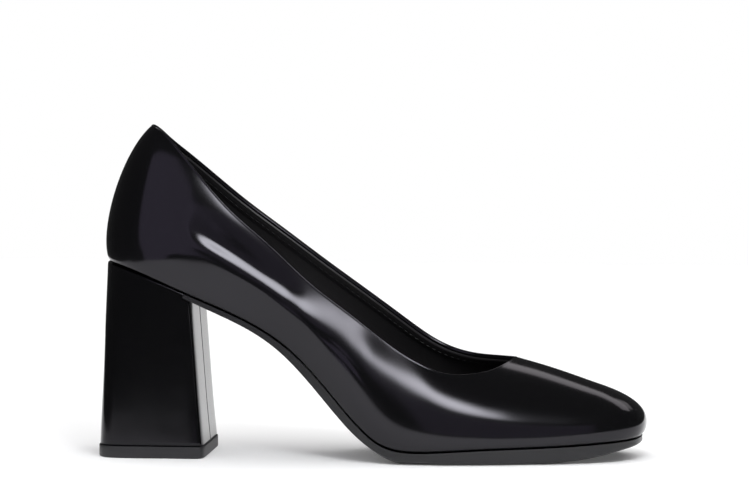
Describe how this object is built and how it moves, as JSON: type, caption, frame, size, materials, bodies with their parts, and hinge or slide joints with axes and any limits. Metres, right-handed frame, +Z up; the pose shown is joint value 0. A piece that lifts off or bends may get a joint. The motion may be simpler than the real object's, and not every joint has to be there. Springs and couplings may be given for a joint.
{
  "type": "high heel",
  "caption": "Black leather high heel for the right foot, with a soft square toe, a low-cut topline and a tall leather-covered block heel, standing empty on its sole.",
  "frame": {"origin": "middle of the shoe's length and width, on the floor that it stands on", "axes": "+X towards the toe, +Y towards the inner side of the foot, +Z up"},
  "size_m": [0.2292, 0.0804, 0.1385],
  "materials": {
    "polished_leather": "black smooth leather, polished",
    "footbed": "black lining leather, dull",
    "sole_rubber": "black moulded sole, satin",
    "covered_heel": "black smooth leather pasted over the block, polished",
    "lift_rubber": "black rubber, dull"
  },
  "bodies": {
    "root": {"upper": "polished_leather", "insole": "footbed", "outsole": "sole_rubber", "heel": "covered_heel", "top_lift": "lift_rubber"}
  },
  "joints": []
}
